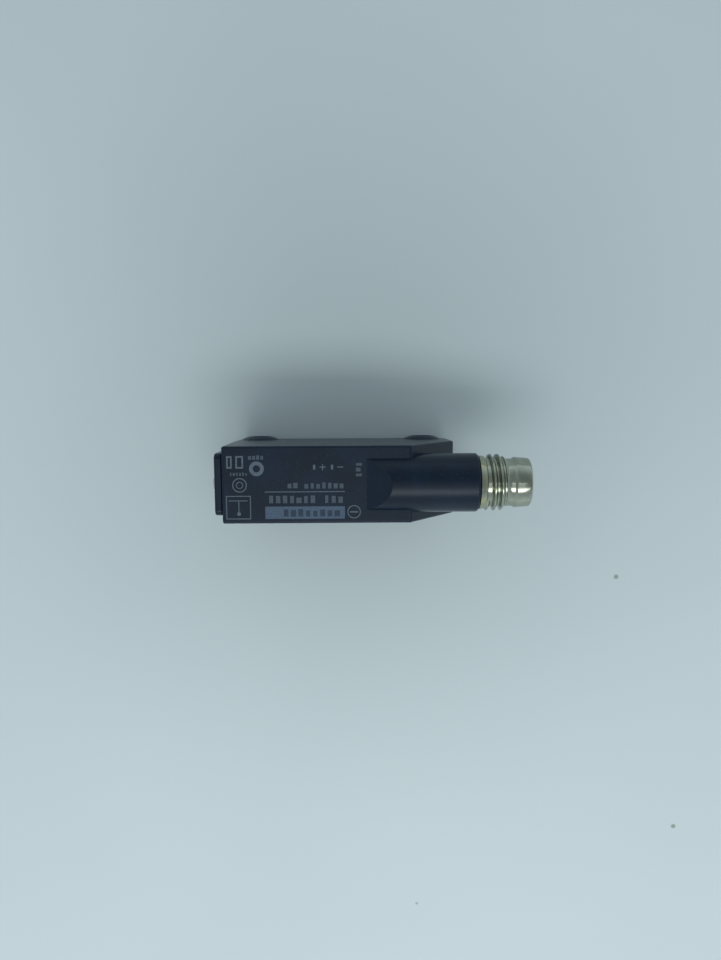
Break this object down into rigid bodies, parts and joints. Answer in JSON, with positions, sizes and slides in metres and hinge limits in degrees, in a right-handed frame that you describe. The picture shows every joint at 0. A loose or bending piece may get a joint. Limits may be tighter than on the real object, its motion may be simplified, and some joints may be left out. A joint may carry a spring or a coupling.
{
  "type": "photoelectric sensor",
  "caption": "Miniature rectangular through-beam photoelectric emitter with a side optical window, cross mounting holes, an end indicator and a threaded M8 plug connector",
  "frame": {"origin": "centre of the bounding box in plan, on the plane of the optical face that the sensor rests on", "axes": "+X along the connector axis towards the plug end, +Y across the width, +Z from the optical face up to the back face"},
  "size_m": [0.0442, 0.0116, 0.0221],
  "materials": {
    "black_pbt": "fine spark-eroded grain on the back face, satin elsewhere, light grey laser marking",
    "smoked_window": "polished, dark smoked plastic that passes infrared",
    "clear_plastic": "clear moulded plastic, polished",
    "lamp_plastic": "milky translucent plastic",
    "black_rubber": "matt moulded rubber",
    "carrier_plastic": "satin moulded plastic",
    "nickel_plated_brass": "nickel-plated brass, turned, with a slight warm tint",
    "gold_plated_contact": "gold-plated",
    "tinned_lead": "tin-plated",
    "green_laminate": "solder-masked glass-fibre laminate",
    "chip_epoxy": "moulded epoxy",
    "tantalum_case": "moulded epoxy, ochre",
    "ceramic": "fired ceramic",
    "resistor_glaze": "glazed",
    "brown_insulation": "plastic insulation, brown",
    "blue_insulation": "plastic insulation, blue"
  },
  "bodies": {
    "root": {"housing": "black_pbt", "front_window": "smoked_window", "window_seal": "black_rubber", "collimating_lens": "clear_plastic", "lens_holder": "carrier_plastic", "emitter_led": "clear_plastic", "emitter_lead_anode": "tinned_lead", "emitter_lead_cathode": "tinned_lead", "light_pipe": "lamp_plastic", "end_cap": "black_pbt", "cap_seal": "black_rubber", "circuit_board": "green_laminate", "driver_ic": "chip_epoxy", "protection_diode": "chip_epoxy", "tantalum_capacitor": "tantalum_case", "indicator_led": "lamp_plastic", "ceramic_capacitor_1": "ceramic", "ceramic_capacitor_2": "ceramic", "ceramic_capacitor_3": "ceramic", "resistor_1": "resistor_glaze", "resistor_2": "resistor_glaze", "resistor_3": "resistor_glaze", "resistor_4": "resistor_glaze", "voltage_regulator": "chip_epoxy", "driver_transistor": "chip_epoxy", "lead_wire_plus": "brown_insulation", "lead_wire_minus": "blue_insulation", "connector_shell": "nickel_plated_brass", "contact_carrier": "carrier_plastic", "connector_o_ring": "black_rubber", "contact_pin_1": "gold_plated_contact", "contact_pin_2": "gold_plated_contact", "contact_pin_3": "gold_plated_contact", "contact_pin_4": "gold_plated_contact"}
  },
  "joints": []
}
